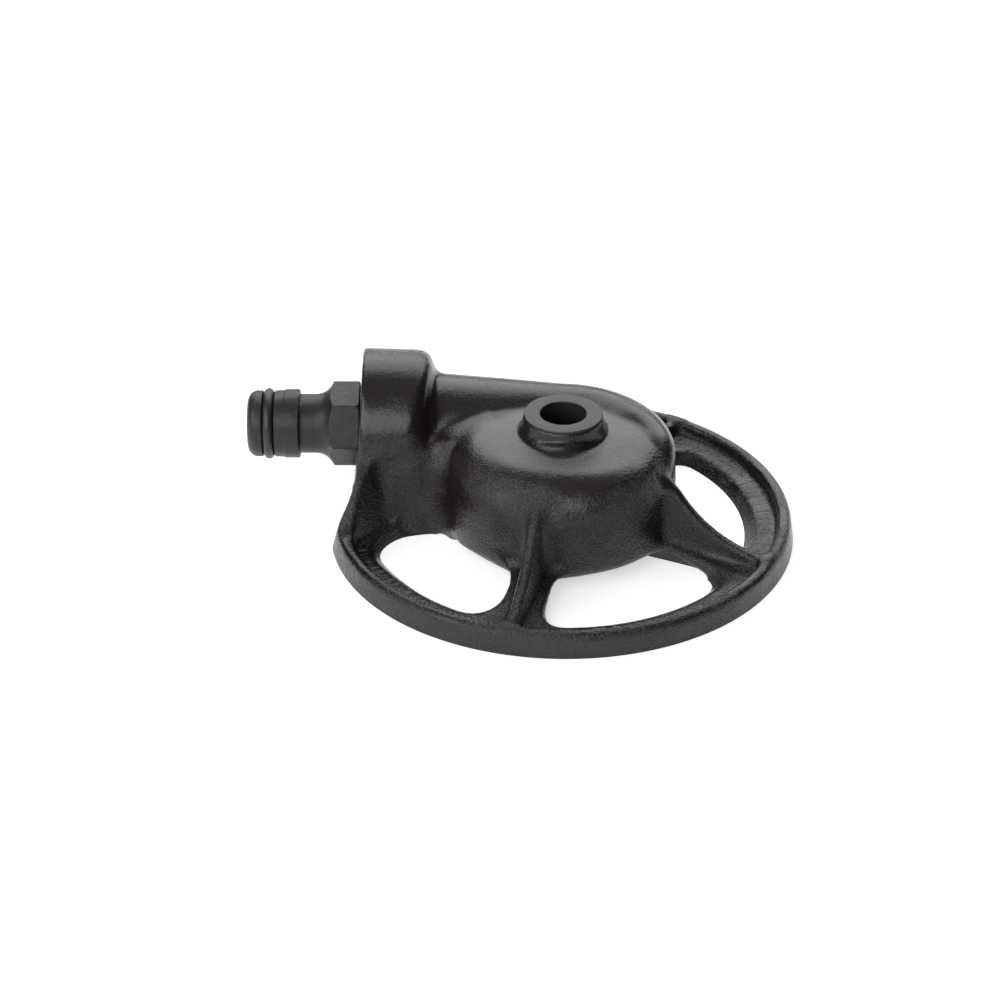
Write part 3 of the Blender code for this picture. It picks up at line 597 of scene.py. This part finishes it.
def bump(tree, height, strength, distance, normal=None):
    """Bump in millimetres. strength is a number or the output of a node."""
    made = node(tree, "ShaderNodeBump")
    if isinstance(strength, float):
        made.inputs["Strength"].default_value = strength
    else:
        tree.links.new(strength, made.inputs["Strength"])
    made.inputs["Distance"].default_value = distance * MM
    tree.links.new(height, made.inputs["Height"])
    if normal is not None:
        tree.links.new(normal, made.inputs["Normal"])
    return made.outputs["Normal"]


def tone(tree, source, dark, light):
    made = node(tree, "ShaderNodeMix", data_type="RGBA")
    made.inputs["A"].default_value = (*dark, 1.0)
    made.inputs["B"].default_value = (*light, 1.0)
    tree.links.new(source, made.inputs["Factor"])
    return made.outputs["Result"]


def cast_paint():
    """Satin black paint over a sand-cast skin: grainy in patches, with soft dents and runs."""
    made, tree, shader = new_material("satin_black_on_casting")
    grain = noise(tree, 1.9, 3.0, 0.62, 0.3)
    patches = noise(tree, 0.075, 2.0, 0.5)
    dents = noise(tree, 0.33, 2.0, 0.5)
    runs = noise(tree, 0.8, 2.0, 0.55, 0.5, (1.0, 1.0, 0.4))
    dark, light = (0.0085, 0.0064, 0.0058), (0.0145, 0.0112, 0.0104)
    tint = mapped(tree, grain.outputs["Fac"], 0.35, 0.68, 0.0, 1.0)
    tree.links.new(tone(tree, tint, dark, light), shader.inputs["Base Color"])
    tree.links.new(mapped(tree, grain.outputs["Fac"], 0.3, 0.7, 0.18, 0.3), shader.inputs["Roughness"])
    shader.inputs["Specular IOR Level"].default_value = 0.5
    patchy = mapped(tree, patches.outputs["Fac"], 0.38, 0.62, 0.3, 1.1)
    place = node(tree, "ShaderNodeTexCoord")
    parts = node(tree, "ShaderNodeSeparateXYZ")
    tree.links.new(place.outputs["Object"], parts.inputs["Vector"])
    calm = mapped(tree, parts.outputs["Z"], 0.0225, 0.0245, 1.0, 0.35)
    normal = bump(tree, dents.outputs["Fac"], sum_of(tree, "MULTIPLY", calm, 0.48), 0.5)
    normal = bump(tree, runs.outputs["Fac"], sum_of(tree, "MULTIPLY", calm, 0.36), 0.25, normal)
    normal = bump(tree, grain.outputs["Fac"], sum_of(tree, "MULTIPLY", calm, patchy), 0.33, normal)
    strokes, on_ledge = ledge_strokes(tree)
    normal = bump(tree, strokes, on_ledge, 0.4, normal)
    tree.links.new(normal, shader.inputs["Normal"])
    return made


def sum_of(tree, operation, a, b=None):
    """The result of one calculation. a and b are numbers or the outputs of nodes."""
    made = node(tree, "ShaderNodeMath", operation=operation)
    for socket, value in zip(made.inputs, (a, b)):
        if isinstance(value, (int, float)):
            socket.default_value = value
        elif value is not None:
            tree.links.new(value, socket)
    return made.outputs["Value"]


def ledge_strokes(tree):
    """Short ridges across the ring's ledge, left by the moulder's trowel, and where they are."""
    place = node(tree, "ShaderNodeTexCoord")
    parts = node(tree, "ShaderNodeSeparateXYZ")
    tree.links.new(place.outputs["Object"], parts.inputs["Vector"])
    x = sum_of(tree, "SUBTRACT", parts.outputs["X"], AXIS_X * MM)
    y = parts.outputs["Y"]
    square = sum_of(tree, "ADD", sum_of(tree, "MULTIPLY", x, x), sum_of(tree, "MULTIPLY", y, y))
    rho = sum_of(tree, "SQRT", square)
    turn = sum_of(tree, "ARCTAN2", y, x)
    polar = node(tree, "ShaderNodeCombineXYZ")
    tree.links.new(sum_of(tree, "MULTIPLY", turn, 46.0), polar.inputs["X"])
    tree.links.new(sum_of(tree, "MULTIPLY", rho, 40.0), polar.inputs["Y"])
    made = node(tree, "ShaderNodeTexNoise")
    made.inputs["Scale"].default_value = 0.75
    made.inputs["Detail"].default_value = 1.0
    tree.links.new(polar.outputs["Vector"], made.inputs["Vector"])
    # These three bounds also take in a patch of the boss's face, under the nipple
    across = mapped(tree, rho, 0.0428, 0.0436, 0.0, 1.0)
    inside = mapped(tree, rho, 0.0482, 0.0492, 1.0, 0.0)
    low = mapped(tree, parts.outputs["Z"], 0.0045, 0.0055, 1.0, 0.0)
    mask = sum_of(tree, "MULTIPLY", sum_of(tree, "MULTIPLY", across, inside), low)
    return made.outputs["Fac"], mask


def turned_paint():
    """The same paint where a lathe has been: smoother, with a faint speckle."""
    made, tree, shader = new_material("satin_black_on_turning")
    speck = noise(tree, 2.2, 3.0, 0.5)
    colour = tone(tree, speck.outputs["Fac"], (0.014, 0.0135, 0.0135), (0.02, 0.0195, 0.0195))
    tree.links.new(colour, shader.inputs["Base Color"])
    tree.links.new(mapped(tree, speck.outputs["Fac"], 0.3, 0.7, 0.4, 0.5), shader.inputs["Roughness"])
    tree.links.new(bump(tree, speck.outputs["Fac"], 0.35, 0.08), shader.inputs["Normal"])
    return made


def moulded_plastic():
    made, tree, shader = new_material("moulded_black_plastic")
    speck = noise(tree, 3.0, 3.0, 0.6)
    sinks = noise(tree, 0.35, 2.0, 0.5)
    colour = tone(tree, speck.outputs["Fac"], (0.0115, 0.011, 0.0115), (0.0165, 0.0155, 0.016))
    tree.links.new(colour, shader.inputs["Base Color"])
    tree.links.new(mapped(tree, speck.outputs["Fac"], 0.3, 0.7, 0.38, 0.5), shader.inputs["Roughness"])
    shader.inputs["Specular IOR Level"].default_value = 0.42
    normal = bump(tree, sinks.outputs["Fac"], 0.4, 0.5)
    tree.links.new(bump(tree, speck.outputs["Fac"], 0.3, 0.05, normal), shader.inputs["Normal"])
    return made


def rubber(name, value, shine):
    made, tree, shader = new_material(name)
    speck = noise(tree, 4.0, 2.0, 0.5)
    colour = tone(tree, speck.outputs["Fac"], (value * 0.85,) * 3, (value * 1.15,) * 3)
    tree.links.new(colour, shader.inputs["Base Color"])
    roughness = mapped(tree, speck.outputs["Fac"], 0.3, 0.7, shine, shine + 0.1)
    tree.links.new(roughness, shader.inputs["Roughness"])
    tree.links.new(bump(tree, speck.outputs["Fac"], 0.2, 0.03), shader.inputs["Normal"])
    return made


# The scene round the part


def make_floor():
    """A pale floor that glows a little, so that it is as even as the photograph's ground."""
    mesh = bpy.data.meshes.new("floor")
    shape = bmesh.new()
    bmesh.ops.create_grid(shape, x_segments=2, y_segments=2, size=4.0)
    shape.to_mesh(mesh)
    shape.free()
    made = bpy.data.objects.new("floor", mesh)
    bpy.context.scene.collection.objects.link(made)
    look, _, shader = new_material("pale_floor")
    shader.inputs["Base Color"].default_value = (0.8, 0.8, 0.8, 1.0)
    shader.inputs["Roughness"].default_value = 0.9
    shader.inputs["Specular IOR Level"].default_value = 0.1
    shader.inputs["Emission Color"].default_value = (1.0, 1.0, 1.0, 1.0)
    shader.inputs["Emission Strength"].default_value = 0.55
    made.data.materials.append(look)
    made.location.z = -0.00005


def area_light(name, place, target, size, power, size_y=None):
    data = bpy.data.lights.new(name, "AREA")
    data.shape = "RECTANGLE"
    data.size = size
    data.size_y = size_y or size
    data.energy = power
    made = bpy.data.objects.new(name, data)
    made.location = place
    made.rotation_euler = (Vector(target) - Vector(place)).to_track_quat("-Z", "Y").to_euler()
    bpy.context.scene.collection.objects.link(made)


def make_light():
    world = bpy.data.worlds.new("studio")
    bpy.context.scene.world = world
    world.use_nodes = True
    back = world.node_tree.nodes["Background"]
    back.inputs["Color"].default_value = (1.0, 1.0, 1.0, 1.0)
    back.inputs["Strength"].default_value = 0.03
    area_light("back_soft_box", (0.08, 0.95, 0.78), (0.0, 0.0, 0.0), 1.65, 15.4, 1.15)
    area_light("left_soft_box", (-0.57, -0.725, 0.66), (0.0, 0.0, 0.0), 1.95, 15.1, 0.85)
    area_light("ceiling", (0.0, 0.0, 1.4), (0.0, 0.0, 0.0), 1.9, 3.2)
    bpy.context.scene.view_settings.view_transform = "Standard"


def make_camera():
    data = bpy.data.cameras.new("camera")
    data.lens = 108.0
    data.sensor_width = 36.0
    made = bpy.data.objects.new("camera", data)
    made.location = (-0.0142 + AXIS_X * MM, -0.5871, 0.3620)
    made.rotation_euler = (radians(90.0 - 31.09), 0.0, 0.0)
    bpy.context.scene.collection.objects.link(made)
    bpy.context.scene.camera = made


def dress(piece, look, slot, *nodes):
    piece.data.materials.clear()
    piece.data.materials.append(look)
    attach(piece, "root")
    if nodes:
        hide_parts(*nodes)


dress(make_casting(), cast_paint(), "painted_cast_iron", "sprinkler_casting")
dress(make_nozzle(), turned_paint(), "painted_cast_iron")
dress(make_nipple(), moulded_plastic(), "black_plastic", "hose_nipple")
dress(make_o_ring(), rubber("seal_rubber", 0.02, 0.35), "seal_rubber", "nipple_o_ring")
dress(make_washer(), rubber("washer_rubber", 0.03, 0.6), "washer_rubber", "thread_washer")
make_floor()
make_light()
make_camera()
